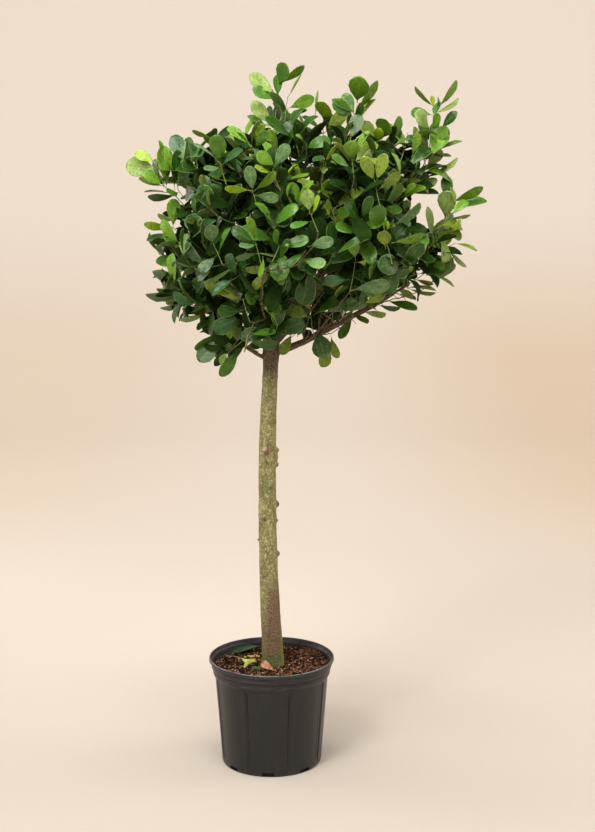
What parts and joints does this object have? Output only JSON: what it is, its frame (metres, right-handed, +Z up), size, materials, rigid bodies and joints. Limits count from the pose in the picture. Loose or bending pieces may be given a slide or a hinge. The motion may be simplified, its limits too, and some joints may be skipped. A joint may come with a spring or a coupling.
{
  "type": "standard fig tree in a nursery pot",
  "caption": "Small-leaved fig grown as a standard: a clear stem carries a bushy, loosely rounded head of glossy leaves, in a round black nursery pot of potting mix.",
  "frame": {"origin": "middle of the pot's flat underside, on the surface that it stands on", "axes": "+Z up along the stem; -Y is the front, the side that faces the viewer; +X is to the right as seen from the front"},
  "size_m": [0.7515, 0.5947, 1.4969],
  "materials": {
    "pot_plastic": "satin",
    "potting_mix": "matte",
    "stem_bark": "matte",
    "limb_bark": "matte",
    "leaf": "satin"
  },
  "bodies": {
    "root": {"pot": "pot_plastic", "potting_mix": "potting_mix", "trunk": "stem_bark", "bough_right_low": "limb_bark", "bough_left_low": "limb_bark", "bough_left": "limb_bark", "bough_left_high": "limb_bark", "bough_front_left": "limb_bark", "bough_front_low": "limb_bark", "bough_front": "limb_bark", "bough_front_right": "limb_bark", "bough_leader": "limb_bark", "bough_top_right": "limb_bark", "bough_right": "limb_bark", "bough_back_right": "limb_bark", "bough_back": "limb_bark", "bough_back_left": "limb_bark", "foliage_top_left": "leaf", "foliage_tip_top": "leaf", "foliage_top_right": "leaf", "foliage_tip_middle": "leaf", "foliage_right_high": "leaf", "foliage_tip_right": "leaf", "foliage_right_mid": "leaf", "foliage_tip_far_right": "leaf", "foliage_right_low": "leaf", "foliage_under_right": "leaf", "foliage_hanging": "leaf", "foliage_under_left": "leaf", "foliage_left_low": "leaf", "foliage_left_mid": "leaf", "foliage_left_high": "leaf", "foliage_tip_left": "leaf", "foliage_front_high_left": "leaf", "foliage_front_high_right": "leaf", "foliage_front_left": "leaf", "foliage_front": "leaf", "foliage_front_right": "leaf", "foliage_front_low": "leaf", "foliage_back_high_left": "leaf", "foliage_back_high_right": "leaf", "foliage_back_left": "leaf", "foliage_back": "leaf", "foliage_back_right": "leaf", "foliage_back_low": "leaf"}
  },
  "joints": []
}
